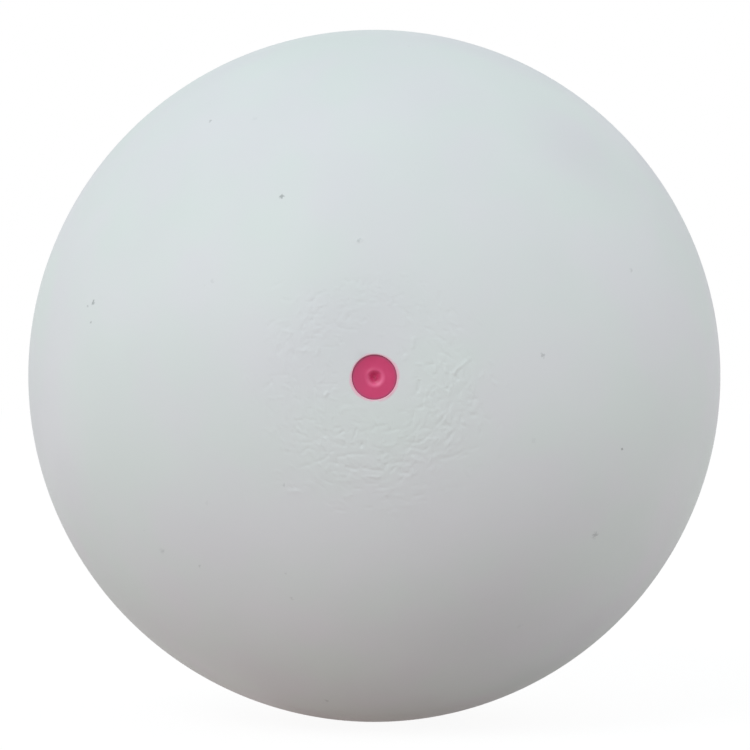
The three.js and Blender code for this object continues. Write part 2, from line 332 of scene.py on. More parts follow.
def crease_height(place, rng):
    """How far the creases lift or sink the skin at points placed right of the axis and above it."""
    height = np.zeros(len(place))
    for share, *route in CREASES:
        half_width = GROOVE_HALF_WIDTH if share < 0 else SWELLING_HALF_WIDTH
        route = np.array(route) * mm
        margin = CREASE_REACH * half_width
        low, high = route.min(axis=0) - margin, route.max(axis=0) + margin
        inside = np.all((place > low) & (place < high), axis=1)
        height[inside] += CREASE_DEPTH * share * drawn_crease(place[inside], route, half_width)
    for direction, distance, spread, across_spread, number, share in CREASE_PATCHES:
        for _ in range(number):
            angle = math.radians(rng.normal(direction, spread))
            radius = abs(rng.normal(distance, across_spread))
            centre = np.array([radius * math.cos(angle), radius * math.sin(angle)])
            tilt = angle + math.pi / 2 + math.radians(rng.normal(0, FAINT_TILT))
            length = rng.uniform(*FAINT_LENGTH)
            half_width = rng.uniform(*FAINT_HALF_WIDTH)
            depth = CREASE_DEPTH * share * rng.uniform(*FAINT_STRENGTH) * rng.choice([-1, 1])
            bend = rng.normal(0, FAINT_BEND)
            height += depth * faint_crease(place, centre, tilt, length, half_width, bend)
    return height


lip_centre_radius = HOLE_RADIUS + LIP_ROUND
lip_angle = math.asin(lip_centre_radius / (BALL_RADIUS - LIP_ROUND))
lip_centre_height = -(BALL_RADIUS - LIP_ROUND) * math.cos(lip_angle)
lip = [
    (lip_centre_radius + LIP_ROUND * math.cos(a), lip_centre_height + LIP_ROUND * math.sin(a))
    for a in np.linspace(math.pi, 1.5 * math.pi + lip_angle, LIP_STEPS + 1)[:-1]
]
front_skin = []
row_start = lip_angle * BALL_RADIUS
for row_end, spacing in SKIN_ROWS:
    steps = round((row_end - row_start) / spacing)
    front_skin += arc(BALL_RADIUS, row_start / BALL_RADIUS, row_end / BALL_RADIUS, steps)[:-1]
    row_start = row_end
inner_radius = BALL_RADIUS - WALL
bead_angle = math.acos(BEAD_HALF_WIDTH / inner_radius)
hole_angle = math.asin(HOLE_RADIUS / inner_radius)
front_inner = arc(inner_radius, bead_angle, hole_angle, INNER_STEPS)

skin_rows = turned(front_skin, FRONT_SEGMENTS)
seen_from_front = skin_rows[:, :, [0, 2]].reshape(-1, 2)
lift = crease_height(seen_from_front, np.random.default_rng(CREASE_SEED)).reshape(skin_rows.shape[:2])
skin_rows = skin_rows * (1 + lift / BALL_RADIUS)[:, :, None]
front_rows = [
    turned(lip, FRONT_SEGMENTS),
    hollowed(skin_rows),
    hollowed(turned(joint_edge(-1), FRONT_SEGMENTS)),
    turned(bead(-1) + front_inner[1:], FRONT_SEGMENTS),
]
shell_front = skin("front_shell", np.concatenate(front_rows))


def add(tree, kind, inputs=None, **options):
    """Adds a shader node with its options, and feeds each input with a value or another node's output."""
    made = tree.nodes.new(kind)
    for option, value in options.items():
        setattr(made, option, value)
    for socket, value in (inputs or {}).items():
        if isinstance(value, bpy.types.NodeSocket):
            tree.links.new(value, made.inputs[socket])
        else:
            made.inputs[socket].default_value = value
    return made


def maths(tree, operation, *values):
    """A Math node's output."""
    return add(tree, "ShaderNodeMath", dict(enumerate(values)), operation=operation).outputs[0]


def ramp(tree, value, low, high, out_low=0.0, out_high=1.0):
    """A smooth step of a value between two limits."""
    inputs = {"Value": value, "From Min": low, "From Max": high, "To Min": out_low, "To Max": out_high}
    return add(tree, "ShaderNodeMapRange", inputs, interpolation_type="SMOOTHSTEP").outputs["Result"]


def distance_between(tree, first, second):
    """How far apart two places are."""
    return add(tree, "ShaderNodeVectorMath", {0: first, 1: second}, operation="DISTANCE").outputs["Value"]


def mixed(tree, factor, first, second):
    """A colour between two colours, which the Mix node takes at inputs 6 and 7 and gives at output 2."""
    inputs = {"Factor": factor, 6: first, 7: second}
    return add(tree, "ShaderNodeMix", inputs, data_type="RGBA").outputs[2]


def shader_group(name, inputs, outputs):
    """An empty shader node group with its sockets, its input node and its output node."""
    tree = bpy.data.node_groups.new(name, "ShaderNodeTree")
    for label, kind in inputs.items():
        tree.interface.new_socket(label, in_out="INPUT", socket_type=kind)
    for label, kind in outputs.items():
        tree.interface.new_socket(label, in_out="OUTPUT", socket_type=kind)
    enter = tree.nodes.new("NodeGroupInput")
    leave = tree.nodes.new("NodeGroupOutput")
    return tree, enter.outputs, leave.inputs


def placed(tree, group, inputs):
    """The outputs of a node group placed in a material with its own values."""
    return add(tree, "ShaderNodeGroup", inputs, node_tree=group).outputs


# Grain that the mould leaves on rubber: fine matte pitting over soft, low waves
moulded_grain, given, result = shader_group(
    "moulded_grain",
    {"Place": "NodeSocketVector", "Grain Size": "NodeSocketFloat", "Wave Size": "NodeSocketFloat",
     "Wave Share": "NodeSocketFloat"},
    {"Height": "NodeSocketFloat"},
)
grain = add(moulded_grain, "ShaderNodeTexNoise", {
    "Vector": given["Place"], "Detail": 2.0,
    "Scale": maths(moulded_grain, "DIVIDE", 1.0, given["Grain Size"]),
})
wave = add(moulded_grain, "ShaderNodeTexNoise", {
    "Vector": given["Place"], "Detail": 1.0,
    "Scale": maths(moulded_grain, "DIVIDE", 1.0, given["Wave Size"]),
})
wave_part = maths(moulded_grain, "MULTIPLY", wave.outputs[0], given["Wave Share"])
moulded_grain.links.new(maths(moulded_grain, "ADD", grain.outputs[0], wave_part), result["Height"])

# Slow patches of tone, as filler and ageing leave in rubber: 0 to 1, across the middle band of a noise
TONE_BAND = (0.3, 0.7)
tone_patches, given, result = shader_group(
    "tone_patches",
    {"Place": "NodeSocketVector", "Patch Size": "NodeSocketFloat", "Shift": "NodeSocketFloat"},
    {"Tone": "NodeSocketFloat"},
)
patch = add(tone_patches, "ShaderNodeTexNoise", {
    "Vector": given["Place"], "W": given["Shift"], "Detail": 2.0,
    "Scale": maths(tone_patches, "DIVIDE", 1.0, given["Patch Size"]),
}, noise_dimensions="4D")
tone_patches.links.new(ramp(tone_patches, patch.outputs[0], *TONE_BAND), result["Tone"])

# Specks of grit: one may lie in each cell, and only a share of the cells has one. Each fades out between two
# shares of its own size.
SPECK_EDGE = (0.4, 0.6)
grit_specks, given, result = shader_group(
    "grit_specks",
    {"Place": "NodeSocketVector", "Spacing": "NodeSocketFloat", "Speck Size": "NodeSocketFloat",
     "Share": "NodeSocketFloat"},
    {"Mask": "NodeSocketFloat"},
)
cells = add(grit_specks, "ShaderNodeTexVoronoi", {
    "Vector": given["Place"], "Scale": maths(grit_specks, "DIVIDE", 1.0, given["Spacing"]),
})
chance = add(grit_specks, "ShaderNodeSeparateColor", {"Color": cells.outputs["Color"]})
chosen = maths(grit_specks, "LESS_THAN", chance.outputs["Red"], given["Share"])
reach = maths(grit_specks, "DIVIDE", given["Speck Size"], given["Spacing"])
reach = maths(grit_specks, "MULTIPLY", reach, chance.outputs["Green"])
size_share = maths(grit_specks, "DIVIDE", cells.outputs["Distance"], reach)
near = ramp(grit_specks, size_share, *SPECK_EDGE, 1.0, 0.0)
grit_specks.links.new(maths(grit_specks, "MULTIPLY", near, chosen), result["Mask"])

# One mark at a chosen place. A fine noise, in cells per metre, makes its edge ragged: across the middle band
# of the noise the mark's size goes from one share to another, and it fades out between two shares of that.
RAGGED_SCALE = 5000.0
RAGGED_BAND = (0.3, 0.7)
RAGGED_SIZE = (0.5, 1.4)
MARK_EDGE = (0.25, 0.6)
single_mark, given, result = shader_group(
    "single_mark",
    {"Place": "NodeSocketVector", "Centre": "NodeSocketVector", "Size": "NodeSocketFloat",
     "Strength": "NodeSocketFloat"},
    {"Mask": "NodeSocketFloat"},
)
apart = distance_between(single_mark, given["Place"], given["Centre"])
ragged = add(single_mark, "ShaderNodeTexNoise", {
    "Vector": given["Place"], "Scale": RAGGED_SCALE, "Detail": 0.0,
})
edge = ramp(single_mark, ragged.outputs[0], *RAGGED_BAND, *RAGGED_SIZE)
apart_share = maths(single_mark, "DIVIDE", apart, maths(single_mark, "MULTIPLY", given["Size"], edge))
spot = ramp(single_mark, apart_share, *MARK_EDGE, 1.0, 0.0)
single_mark.links.new(maths(single_mark, "MULTIPLY", spot, given["Strength"]), result["Mask"])

WHITE_COOL = (0.735, 0.795, 0.785, 1)
WHITE_LILAC = (0.755, 0.775, 0.800, 1)
WHITE_PATCH = 9 * mm
SKIN_ROUGHNESS = (0.62, 0.7)
SKIN_GLOSS = 0.25
# Large patches that are a trace darker and rougher. A shift gives patches of one kind a layout of their own.
DULL_PATCH = 14 * mm
DULL_SHIFT = 3.0
DULL_STRENGTH = 0.03
GRIT = (0.25, 0.27, 0.28, 1)
GRIT_SPACING = 3 * mm
GRIT_SIZE = 0.22 * mm
GRIT_SHARE = 0.25
GRIT_STRENGTH = 0.15
SKIN_GRAIN = 0.3 * mm
SKIN_WAVE = 1.1 * mm
SKIN_WAVE_SHARE = 3.0
SKIN_GRAIN_DEPTH = 0.003 * mm
# Pink on the hole's edge: dye of the plug that has bled into it, with painted pink light reflected from the
# plug.
# It fades out between two distances from the valve's axis, and its patches carry it further here and there.
DYE_AND_PINK_REFLECTION = (0.88, 0.53, 0.64, 1)
PINK_EDGE_INNER = 1.95 * mm
PINK_EDGE_OUTER = 2.20 * mm
PINK_EDGE_PATCH = 0.9 * mm
PINK_EDGE_SHIFT = 7.0
PINK_EDGE_SPREAD = 0.16 * mm


def front_point(right, up):
    """The point of the front skin at a place right of the valve's axis and above it."""
    return (right, -math.sqrt(BALL_RADIUS**2 - right**2 - up**2), up)


def white_rubber(name, marks, shade_and_patches, pink_edged):
    """Matte white rubber. Marks and dark patches (partly painted shade) are (right, up, size, strength). Dye
    and painted reflection can tint the hole's edge.
    """
    material = bpy.data.materials.new(name)
    material.use_nodes = True
    tree = material.node_tree
    rubber = tree.nodes["Principled BSDF"]
    place = add(tree, "ShaderNodeTexCoord").outputs["Object"]
    tone = placed(tree, tone_patches, {"Place": place, "Patch Size": WHITE_PATCH})["Tone"]
    colour = mixed(tree, tone, WHITE_COOL, WHITE_LILAC)
    dull = placed(tree, tone_patches, {"Place": place, "Patch Size": DULL_PATCH, "Shift": DULL_SHIFT})["Tone"]
    colour = mixed(tree, maths(tree, "MULTIPLY", dull, DULL_STRENGTH), colour, GRIT)
    specks = placed(tree, grit_specks, {
        "Place": place, "Spacing": GRIT_SPACING, "Speck Size": GRIT_SIZE, "Share": GRIT_SHARE,
    })["Mask"]
    dirt = maths(tree, "MULTIPLY", specks, GRIT_STRENGTH)
    for right, up, size, strength in marks:
        mark = placed(tree, single_mark, {
            "Place": place, "Centre": front_point(right, up), "Size": size, "Strength": strength,
        })["Mask"]
        dirt = maths(tree, "MAXIMUM", dirt, mark)
    colour = mixed(tree, dirt, colour, GRIT)
    # Darker patches: painted shade beside the hole, and broad faint patches further out
    for right, up, size, strength in shade_and_patches:
        apart = distance_between(tree, place, front_point(right, up))
        colour = mixed(tree, ramp(tree, apart, 0.0, size, strength, 0.0), colour, GRIT)
    # Pink at the hole's edge: dye of the plug, together with painted pink light reflected from it
    if pink_edged:
        axes = add(tree, "ShaderNodeSeparateXYZ", {"Vector": place}).outputs
        flat = add(tree, "ShaderNodeCombineXYZ", {"X": axes["X"], "Z": axes["Z"]}).outputs["Vector"]
        off_axis = add(tree, "ShaderNodeVectorMath", {0: flat}, operation="LENGTH").outputs["Value"]
        spread = placed(tree, tone_patches, {
            "Place": place, "Patch Size": PINK_EDGE_PATCH, "Shift": PINK_EDGE_SHIFT,
        })["Tone"]
        reach = maths(tree, "SUBTRACT", off_axis, maths(tree, "MULTIPLY", spread, PINK_EDGE_SPREAD))
        dye_and_reflection = ramp(tree, reach, PINK_EDGE_INNER - PINK_EDGE_SPREAD / 2, PINK_EDGE_OUTER - PINK_EDGE_SPREAD / 2, 1.0, 0.0)
        colour = mixed(tree, dye_and_reflection, colour, DYE_AND_PINK_REFLECTION)
    height = placed(tree, moulded_grain, {
        "Place": place, "Grain Size": SKIN_GRAIN, "Wave Size": SKIN_WAVE, "Wave Share": SKIN_WAVE_SHARE,
    })["Height"]
    bump = add(tree, "ShaderNodeBump", {"Height": height, "Strength": 1.0, "Distance": SKIN_GRAIN_DEPTH})
    tree.links.new(colour, rubber.inputs["Base Color"])
    tree.links.new(ramp(tree, dull, 0.0, 1.0, *SKIN_ROUGHNESS), rubber.inputs["Roughness"])
    tree.links.new(bump.outputs["Normal"], rubber.inputs["Normal"])
    rubber.inputs["Specular IOR Level"].default_value = SKIN_GLOSS
    return material


# Specks and marks on the front: place right of the valve's axis and above it, size, and strength
FRONT_MARKS = [
    (-8.05 * mm, 15.7 * mm, 0.40 * mm, 0.62),
    (-1.3 * mm, 11.75 * mm, 0.40 * mm, 0.28),
    (-14.75 * mm, 23.0 * mm, 0.33 * mm, 0.37),
    (14.55 * mm, 1.85 * mm, 0.43 * mm, 0.35),
    (22.85 * mm, 9.45 * mm, 0.35 * mm, 0.22),
    (19.6 * mm, -14.05 * mm, 0.64 * mm, 0.38),
    (-18.85 * mm, -15.5 * mm, 0.52 * mm, 0.25),
    (-15.45 * mm, -16.7 * mm, 0.34 * mm, 0.26),
    (-25.15 * mm, 6.65 * mm, 0.43 * mm, 0.58),
    (-25.7 * mm, 6.3 * mm, 0.28 * mm, 0.35),
    (-25.35 * mm, 4.85 * mm, 0.26 * mm, 0.45),
    (21.9 * mm, -6.33 * mm, 0.27 * mm, 0.65),
    (-7.8 * mm, -9.3 * mm, 0.28 * mm, 0.22),
    (-4.35 * mm, -29.7 * mm, 0.55 * mm, 0.26),
    (-7.8 * mm, -17.15 * mm, 0.26 * mm, 0.15),
    (-14.05 * mm, 8.3 * mm, 0.38 * mm, 0.10),
    (-7.25 * mm, -19.45 * mm, 0.34 * mm, 0.17),
    (-10.6 * mm, 23.0 * mm, 0.5 * mm, 0.07),
    (-14.6 * mm, -11.0 * mm, 0.5 * mm, 0.07),
    (13.8 * mm, -5.5 * mm, 0.45 * mm, 0.07),
    (13.0 * mm, -22.3 * mm, 0.5 * mm, 0.07),
]
# Given the same way: painted shade beside the hole, to its left and above it, and two broad, faint darker
# patches further out on the right
FRONT_SHADE_AND_PATCHES = [
    (-1.0 * mm, 1.7 * mm, 0.9 * mm, 0.09),
    (-0.3 * mm, 4.8 * mm, 7.5 * mm, 0.07),
    (-5.5 * mm, 1.8 * mm, 8.0 * mm, 0.06),
    (10.0 * mm, -21.5 * mm, 12 * mm, 0.045),
    (19.0 * mm, 20.5 * mm, 9 * mm, 0.06),
]
front_rubber = white_rubber("white_rubber_front", FRONT_MARKS, FRONT_SHADE_AND_PATCHES, pink_edged=True)
shell_front.data.materials.append(front_rubber)
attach(shell_front, "root")
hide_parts("shell_front_half")

# Valve seat. A cream rubber boss with a thin flange, moulded in one and cemented to the inside of the front
# wall. Its chamber takes the plug's barb and the gum, and a small vent opens into the ball.

seat_low, seat_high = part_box("valve_seat")
plug_low, plug_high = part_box("valve_plug")
gum_low, gum_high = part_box("sealing_gum")
VALVE_SEGMENTS = 192
CORNER_STEPS = 6
BOND_STEPS = 40
PRESS_FIT = 0.02 * mm
BARB_LENGTH = 3.2 * mm
SEAT_BORE = 1.4 * mm
SEAT_WALL = 1.9 * mm
SEAT_FLOOR = 1 * mm
SEAT_DRAFT = 0.35 * mm
SEAT_VENT = 0.5 * mm
FLANGE_EDGE = 0.5 * mm
FLANGE_ROOT = 1.3 * mm
# How far each corner is rounded along its edges
FLANGE_RIM_ROUND = 0.2 * mm
BOSS_ROOT_ROUND = 1.6 * mm
BOSS_END_ROUND = 0.7 * mm
VENT_END_ROUND = 0.15 * mm
VENT_FLOOR_ROUND = 0.05 * mm
CHAMBER_ROUND = 0.1 * mm


def softened(corners):
    """An outline through corners (radius, height, reach), each rounded over its reach along both edges."""
    outline = []
    for index, (radius, height, reach) in enumerate(corners):
        here = Vector((radius, height))
        start = here + (Vector(corners[index - 1][:2]) - here).normalized() * reach
        end = here + (Vector(corners[(index + 1) % len(corners)][:2]) - here).normalized() * reach
        for t in np.linspace(0, 1, CORNER_STEPS + 1 if reach else 1):
            outline.append(start.lerp(here, t).lerp(here.lerp(end, t), t))
    return outline


flange_radius = seat_high.x
barb_radius = plug_high.x
nose_radius = gum_high.x
seat_top_radius = lip_centre_radius
bond_radius = math.hypot(seat_top_radius, seat_low.y)
boss_radius = barb_radius + PRESS_FIT + SEAT_WALL
boss_root = -math.sqrt(bond_radius**2 - boss_radius**2) + FLANGE_ROOT
flange_edge = -math.sqrt(bond_radius**2 - flange_radius**2)
chamber_floor = seat_high.y - SEAT_FLOOR
barb_shoulder = plug_high.y - BARB_LENGTH
bond_start = math.asin(seat_top_radius / bond_radius)
bond_end = math.asin(flange_radius / bond_radius)
bonded = arc(bond_radius, bond_start, bond_end, BOND_STEPS)
seat_outline = softened([(r, h, 0) for r, h in bonded] + [
    (flange_radius, flange_edge + FLANGE_EDGE, FLANGE_RIM_ROUND),
    (boss_radius, boss_root, BOSS_ROOT_ROUND),
    (boss_radius - SEAT_DRAFT, seat_high.y, BOSS_END_ROUND),
    (SEAT_VENT, seat_high.y, VENT_END_ROUND),
    (SEAT_VENT, chamber_floor, VENT_FLOOR_ROUND),
    (nose_radius + PRESS_FIT, chamber_floor, CHAMBER_ROUND),
    (nose_radius + PRESS_FIT, plug_high.y, CHAMBER_ROUND),
    (barb_radius + PRESS_FIT, barb_shoulder, CHAMBER_ROUND),
    (SEAT_BORE + PRESS_FIT, barb_shoulder, CHAMBER_ROUND),
    (SEAT_BORE + PRESS_FIT, seat_low.y, CHAMBER_ROUND),
])
seat = skin("seat", turned(seat_outline, VALVE_SEGMENTS))

# Finish that the valve's rubbers share: grit, the grain's waves, and how much rougher the darker tone is
VALVE_GRIT_SPACING = 0.5 * mm
VALVE_GRIT_SIZE = 0.1 * mm
VALVE_GRIT_SHARE = 0.3
VALVE_WAVE_TO_GRAIN = 6
VALVE_WAVE_SHARE = 1.5
VALVE_ROUGHER = 0.06


def moulded_rubber(name, light, dark, patch, grain, depth, roughness, gloss, specks=0.0):
    """Coloured rubber: two close tones in patches, moulded grain, and grit in the given strength."""
    material = bpy.data.materials.new(name)
    material.use_nodes = True
    tree = material.node_tree
    rubber = tree.nodes["Principled BSDF"]
    place = add(tree, "ShaderNodeTexCoord").outputs["Object"]
    tone = placed(tree, tone_patches, {"Place": place, "Patch Size": patch})["Tone"]
    colour = mixed(tree, tone, light, dark)
    grit = placed(tree, grit_specks, {
        "Place": place, "Spacing": VALVE_GRIT_SPACING, "Speck Size": VALVE_GRIT_SIZE,
        "Share": VALVE_GRIT_SHARE,
    })["Mask"]
    colour = mixed(tree, maths(tree, "MULTIPLY", grit, specks), colour, GRIT)
    height = placed(tree, moulded_grain, {
        "Place": place, "Grain Size": grain, "Wave Size": VALVE_WAVE_TO_GRAIN * grain,
        "Wave Share": VALVE_WAVE_SHARE,
    })["Height"]
    bump = add(tree, "ShaderNodeBump", {"Height": height, "Strength": 1.0, "Distance": depth})
    tree.links.new(colour, rubber.inputs["Base Color"])
    matte = ramp(tree, tone, 0.0, 1.0, roughness, roughness + VALVE_ROUGHER)
    tree.links.new(matte, rubber.inputs["Roughness"])
    tree.links.new(bump.outputs["Normal"], rubber.inputs["Normal"])
    rubber.inputs["Specular IOR Level"].default_value = gloss
    return material


CREAM = (0.80, 0.76, 0.64, 1)
CREAM_DARK = (0.74, 0.69, 0.56, 1)
cream_rubber = moulded_rubber(
    "cream_rubber", CREAM, CREAM_DARK, patch=4 * mm, grain=0.15 * mm, depth=0.004 * mm,
    roughness=0.68, gloss=0.3, specks=0.1,
)
seat.data.materials.append(cream_rubber)
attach(seat, "root")
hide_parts("valve_seat")

# Sealing gum. A puck of soft amber gum, cut from a stick and pressed between the plug's nose and the floor of
# the chamber. It closes again when the needle is pulled out.

GUM_ROUND = 0.3 * mm
# Being soft, it isn't quite round: it swells by this share of its radius, this many times round
GUM_SWELL = 0.004
GUM_SWELLINGS = 3
# Share of the light that enters the gum, and how deep it goes
GUM_LIGHT_SHARE = 0.2
GUM_LIGHT_DEPTH = 0.6 * mm

gum_outline = softened([
    (0, gum_low.y, 0),
    (nose_radius, gum_low.y, GUM_ROUND),
    (nose_radius, gum_high.y, GUM_ROUND),
    (0, gum_high.y, 0),
])
gum_rows = turned(gum_outline, VALVE_SEGMENTS)
gum_angles = np.linspace(0, 2 * np.pi, VALVE_SEGMENTS, endpoint=False)
swell = 1 + GUM_SWELL * np.sin(GUM_SWELLINGS * gum_angles)
gum = skin("gum", gum_rows * np.stack([swell, 1 + 0 * swell, swell], axis=1), looped=False)
AMBER = (0.68, 0.38, 0.13, 1)
AMBER_DARK = (0.60, 0.31, 0.10, 1)
amber_gum = moulded_rubber(
    "amber_gum", AMBER, AMBER_DARK, patch=1.2 * mm, grain=0.3 * mm, depth=0.008 * mm,
    roughness=0.34, gloss=0.5,
)
gum_shader = amber_gum.node_tree.nodes["Principled BSDF"]
gum_shader.inputs["Subsurface Weight"].default_value = GUM_LIGHT_SHARE
gum_shader.inputs["Subsurface Scale"].default_value = GUM_LIGHT_DEPTH
gum.data.materials.append(amber_gum)
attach(gum, "root")
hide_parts("sealing_gum")

# Valve plug. Pink rubber, moulded with a dished face, a lip round the needle's mouth, a neck and a barb, and
# pushed in from outside. The mouth is pinched to a slit that the rubber squeezes shut.

LIP_HEIGHT = 0.1 * mm
FACE_RADIUS = 1.915 * mm
NECK_RADIUS = 1.4 * mm
HEAD_BACK = seat_low.y - PRESS_FIT
SLIT_HALF_WIDTH = 0.62 * mm
SLIT_HALF_OPENING = 0.004 * mm
# On the nose the slit has a rim that lies this much wider, and whose height is this share of its width
SLIT_RIM = 0.05 * mm
SLIT_RIM_HEIGHT_SHARE = 0.12
PLUG_ROUND = 0.08 * mm
NOSE_ROUND = 0.4 * mm
FACE_STEPS = 5
# The mouth isn't round: towards this direction, in degrees from the right, its lip stands steep and near the
# axis, and on the other side it is a long slope
STEEP_SIDE = 120
# Swellings and dents of the mouth's wall: direction, height in millimetres, and spread in degrees
MOUTH_BULGES = [(35, 0.07, 25), (185, -0.06, 22), (262, 0.09, 26)]
MOUTH_RADIUS = 0.42 * mm
MOUTH_SPREAD = 0.16 * mm
# Only rows whose height is more than this share of their width have them
ROUND_ROW = 0.99

face_level = plug_low.y + LIP_HEIGHT
plug_depth = plug_high.y - face_level
head_depth = HEAD_BACK - face_level
shoulder_depth = barb_shoulder - face_level
# Rows of the plug in millimetres, from the slit out through the mouth and over the dished face: radius and
# depth behind the face on the steep side, the same on the other side, and the row's height to its width
FACE_ROWS = [
    (0.62, 1.20, 0.62, 1.20, 0.006),
    (0.30, 0.72, 0.30, 0.72, 0.02),
    (0.15, 0.52, 0.15, 0.52, 0.03),
    (0.09, 0.45, 0.09, 0.45, 0.08),
    (0.08, 0.415, 0.08, 0.415, 0.3),
    (0.11, 0.385, 0.11, 0.39, 0.8),
    (0.16, 0.345, 0.16, 0.35, 1),
    (0.22, 0.30, 0.22, 0.315, 1),
    (0.275, 0.24, 0.275, 0.265, 1),
    (0.33, 0.18, 0.32, 0.215, 1),
    (0.39, 0.12, 0.37, 0.175, 1),
    (0.45, 0.06, 0.43, 0.14, 1),
    (0.51, 0.0, 0.50, 0.10, 1),
    (0.56, -0.045, 0.58, 0.055, 1),
    (0.605, -0.068, 0.66, 0.012, 1),
    (0.66, -0.068, 0.75, -0.028, 1),
    (0.73, -0.052, 0.85, -0.053, 1),
    (0.80, -0.034, 0.95, -0.068, 1),
    (0.88, -0.02, 1.06, -0.08, 1),
    (1.00, -0.008, 1.18, -0.09, 1),
    (1.15, -0.004, 1.30, -0.10, 1),
    (1.35, -0.012, 1.45, -0.11, 1),
    (1.58, -0.04, 1.62, -0.116, 1),
    (1.74, -0.07, 1.75, -0.117, 1),
    (1.83, -0.09, 1.84, -0.112, 1),
    (1.885, -0.085, 1.885, -0.095, 1),
    (1.908, -0.05, 1.908, -0.055, 1),
    (1.915, 0.02, 1.915, 0.02, 1),
    (1.915, 0.30, 1.915, 0.30, 1),
]

face_rows = smoothed(FACE_ROWS, FACE_STEPS) * [mm, mm, mm, mm, 1]
face_end = face_rows[-1][1]
side_outline = softened([
    (FACE_RADIUS, face_end, 0),
    (FACE_RADIUS, head_depth, PLUG_ROUND),
    (NECK_RADIUS, head_depth, PLUG_ROUND),
    (NECK_RADIUS, shoulder_depth, PLUG_ROUND),
    (barb_radius, shoulder_depth, PLUG_ROUND),
    (nose_radius, plug_depth, NOSE_ROUND),
    (SLIT_HALF_WIDTH, plug_depth, 0),
])
side_rows = [(r, h, r, h, 1) for r, h in side_outline[1:-1]]
slit_rim_radius = SLIT_HALF_WIDTH + SLIT_RIM
nose_rows = [
    (slit_rim_radius, plug_depth, slit_rim_radius, plug_depth, SLIT_RIM_HEIGHT_SHARE),
    (SLIT_HALF_WIDTH, plug_depth, SLIT_HALF_WIDTH, plug_depth, SLIT_HALF_OPENING / SLIT_HALF_WIDTH),
]
plug_outline = np.vstack([face_rows, side_rows, nose_rows])
turn = np.linspace(0, 2 * np.pi, VALVE_SEGMENTS, endpoint=False)
steep_radius, steep_depth, far_radius, far_depth, squash = plug_outline.T[:, :, None]
steep = (1 + np.cos(turn - math.radians(STEEP_SIDE))) / 2
radius = far_radius + (steep_radius - far_radius) * steep
depth = far_depth + (steep_depth - far_depth) * steep
for direction, height, spread in MOUTH_BULGES:
    apart_angle = (turn - math.radians(direction) + np.pi) % (2 * np.pi) - np.pi
    off_direction = apart_angle / math.radians(spread)
    off_wall = (radius - MOUTH_RADIUS) / MOUTH_SPREAD
    nearness = np.exp(-(off_direction**2) - off_wall**2)
    radius = radius + height * mm * nearness * (squash > ROUND_ROW)
plug_rows = np.stack([radius * np.cos(turn), face_level + depth, radius * squash * np.sin(turn)], axis=2)
plug = skin("plug", plug_rows)

PINK = (0.64, 0.045, 0.165, 1)
PINK_DEEP = (0.60, 0.038, 0.148, 1)
# A painted highlight makes the slope of the mouth paler, most on its long side. Painted shade makes the
# rubber deeper in colour inside the mouth and towards the left of the face.
PINK_PAINTED_HIGHLIGHT = (0.86, 0.14, 0.31, 1)
HIGHLIGHT_CENTRE = (0.04 * mm, 0, 0)
HIGHLIGHT_RADIUS = 0.64 * mm
HIGHLIGHT_INWARD = 0.26 * mm
HIGHLIGHT_OUTWARD = 0.36 * mm
# How strong the painted highlight is on the steep side and on the far side, and how far from the axis each is
# reached
HIGHLIGHT_STRENGTH = (0.2, 0.85)
HIGHLIGHT_TURNOVER = 0.7 * mm
PINK_MOUTH_SHADE = (0.47, 0.03, 0.115, 1)
MOUTH_SHADE_CENTRE = (0.06 * mm, 0, -0.17 * mm)
MOUTH_SHADE_REACH = 0.28 * mm
PINK_LEFT_SHADE = (0.585, 0.045, 0.155, 1)
LEFT_SHADE_START = -0.4 * mm
LEFT_SHADE_END = -1.3 * mm
# Painted shade in the crevice round the face
PINK_CREVICE_SHADE = (0.50, 0.065, 0.175, 1)
CREVICE_SHADE_START = 1.66 * mm
CREVICE_SHADE_END = 1.84 * mm
MOUTH_ROUGHNESS = 0.75

pink_rubber = moulded_rubber(
    "pink_rubber", PINK, PINK_DEEP, patch=0.9 * mm, grain=0.12 * mm, depth=0.0015 * mm,
    roughness=0.38, gloss=0.5,
)
tree = pink_rubber.node_tree
rubber = tree.nodes["Principled BSDF"]
colour = rubber.inputs["Base Color"].links[0].from_socket
place = add(tree, "ShaderNodeTexCoord").outputs["Object"]
axes = add(tree, "ShaderNodeSeparateXYZ", {"Vector": place}).outputs
flat = add(tree, "ShaderNodeCombineXYZ", {"X": axes["X"], "Z": axes["Z"]}).outputs["Vector"]
# Painted shade: deeper pink towards the left of the face
colour = mixed(tree, ramp(tree, axes["X"], LEFT_SHADE_END, LEFT_SHADE_START, 1.0, 0.0), colour, PINK_LEFT_SHADE)
# Painted shade: deeper pink inside the mouth
from_mouth = distance_between(tree, flat, MOUTH_SHADE_CENTRE)
in_mouth = ramp(tree, from_mouth, 0.0, MOUTH_SHADE_REACH, 1.0, 0.0)
colour = mixed(tree, in_mouth, colour, PINK_MOUTH_SHADE)
# Painted shade: darker pink round the rim of the face
off_axis = add(tree, "ShaderNodeVectorMath", {0: flat}, operation="LENGTH").outputs["Value"]
colour = mixed(tree, ramp(tree, off_axis, CREVICE_SHADE_START, CREVICE_SHADE_END), colour, PINK_CREVICE_SHADE)
roughness = rubber.inputs["Roughness"].links[0].from_socket
matte = maths(tree, "MULTIPLY", in_mouth, MOUTH_ROUGHNESS)
tree.links.new(maths(tree, "MAXIMUM", roughness, matte), rubber.inputs["Roughness"])
